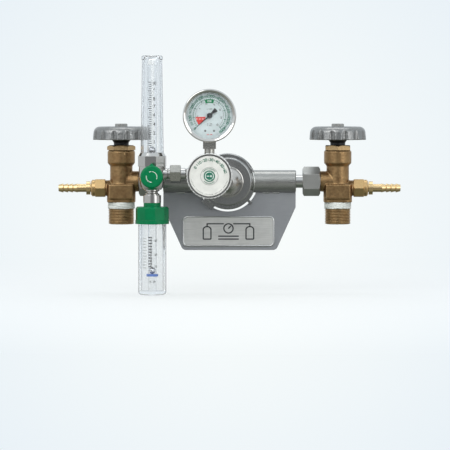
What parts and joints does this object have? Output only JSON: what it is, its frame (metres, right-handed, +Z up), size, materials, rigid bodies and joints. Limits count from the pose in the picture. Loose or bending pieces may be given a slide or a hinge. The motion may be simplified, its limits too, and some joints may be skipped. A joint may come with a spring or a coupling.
{
  "type": "oxygen cylinder regulator",
  "caption": "Two-cylinder oxygen manifold: crossbar with regulator, gauge and flowmeter between two brass cylinder valves with handwheels and hose barbs.",
  "frame": {"origin": "where the crossbar's axis meets the middle plane between the two valves", "axes": "+X along the crossbar to the right valve, -Y to the viewer and the dials, +Z up"},
  "size_m": [0.3996, 0.1133, 0.2768],
  "materials": {
    "tube_steel": "satin, slightly aged",
    "nut_steel": "satin",
    "plate_steel": "satin sheet",
    "name_plate": "brushed sheet",
    "drum_metal": "satin",
    "spring_steel": "bare",
    "dark_chrome": "polished",
    "chrome": "polished",
    "nickel": "nickel plated",
    "ball_steel": "polished",
    "wheel_alloy": "sand cast",
    "spindle_black": "satin black",
    "valve_brass": "cast, aged",
    "brass": "machined, aged",
    "bright_brass": "machined, bright",
    "rubber": "moulded",
    "tape": "wrapped sealing tape",
    "dial": "painted sheet",
    "pointer_black": "painted",
    "white_plastic": "moulded",
    "green_plastic": "moulded",
    "blue_plastic": "moulded",
    "lens": "clear",
    "clear_plastic": "clear moulding"
  },
  "bodies": {
    "regulator": {"crossbar_tube_left": "tube_steel", "crossbar_tube_right": "tube_steel", "end_gland_left": "chrome", "end_gland_right": "chrome", "inlet_nut_left": "nut_steel", "inlet_nut_right": "nut_steel", "support_plate": "plate_steel", "name_plate": "name_plate", "drum_body": "drum_metal", "drum_rear_cap": "drum_metal", "bonnet_ring": "nut_steel", "diaphragm": "rubber", "preset_spring": "spring_steel", "control_housing": "dark_chrome", "gauge_socket": "nickel", "gauge_case": "dark_chrome", "gauge_bezel": "chrome", "gauge_lens": "lens", "gauge_dial": "dial", "bourdon_tube": "brass", "outlet_nipple": "chrome", "union_nut": "nickel", "flowmeter_body": "chrome", "tube_collar": "chrome", "float_seat": "chrome", "metering_tube": "clear_plastic", "tube_top_plug": "white_plastic", "tube_cover": "clear_plastic", "needle_bonnet": "chrome", "outlet_stem": "chrome", "cap_nut": "green_plastic", "lower_tube": "clear_plastic", "lower_seat": "blue_plastic", "lower_metering_tube": "clear_plastic", "valve_body_left": "valve_brass", "thread_tape_left": "tape", "bonnet_nut_left": "valve_brass", "connector_nut_left": "brass", "hose_barb_left": "bright_brass", "safety_plug_left": "valve_brass", "valve_body_right": "valve_brass", "thread_tape_right": "tape", "bonnet_nut_right": "valve_brass", "connector_nut_right": "brass", "hose_barb_right": "bright_brass", "safety_plug_right": "valve_brass"},
    "handwheel_left": {"valve_spindle_left": "spindle_black", "handwheel_left": "wheel_alloy", "wheel_nut_left": "nut_steel"},
    "handwheel_right": {"valve_spindle_right": "spindle_black", "handwheel_right": "wheel_alloy", "wheel_nut_right": "nut_steel"},
    "pressure_knob": {"knob_skirt": "chrome", "knob_face": "white_plastic", "adjusting_screw": "nut_steel"},
    "gauge_pointer": {"gauge_pointer": "pointer_black"},
    "upper_float": {"float_ball": "ball_steel"},
    "flow_knob": {"flow_knob": "green_plastic", "needle_stem": "nut_steel"},
    "lower_float": {"lower_ball": "ball_steel"}
  },
  "joints": [
    {"name": "valve_turn_left", "type": "hinge", "parent": "regulator", "child": "handwheel_left", "pos_m": [-0.1265, 0, 0.05], "axis": [0, 0, 1], "range_deg": [0, 720]},
    {"name": "valve_turn_right", "type": "hinge", "parent": "regulator", "child": "handwheel_right", "pos_m": [0.1265, 0, 0.05], "axis": [0, 0, 1], "range_deg": [0, 720]},
    {"name": "pressure_knob_turn", "type": "hinge", "parent": "regulator", "child": "pressure_knob", "pos_m": [-0.0232, -0.06, 0.0084], "axis": [0, 1, 0], "range_deg": [0, 1080]},
    {"name": "pointer_turn", "type": "hinge", "parent": "regulator", "child": "gauge_pointer", "pos_m": [-0.0232, -0.05, 0.0774], "axis": [0, 1, 0], "range_deg": [0, 270], "stiffness_Nm_per_rad": 0.0005},
    {"name": "flow_knob_turn", "type": "hinge", "parent": "regulator", "child": "flow_knob", "pos_m": [-0.0895, -0.06, 0.0073], "axis": [0, -1, 0], "range_deg": [0, 540]},
    {"name": "upper_float_rise", "type": "slide", "parent": "regulator", "child": "upper_float", "axis": [0, 0, 1], "range_m": [0, 0.094]},
    {"name": "lower_float_rise", "type": "slide", "parent": "regulator", "child": "lower_float", "axis": [0, 0, 1], "range_m": [0, 0.0638]}
  ]
}
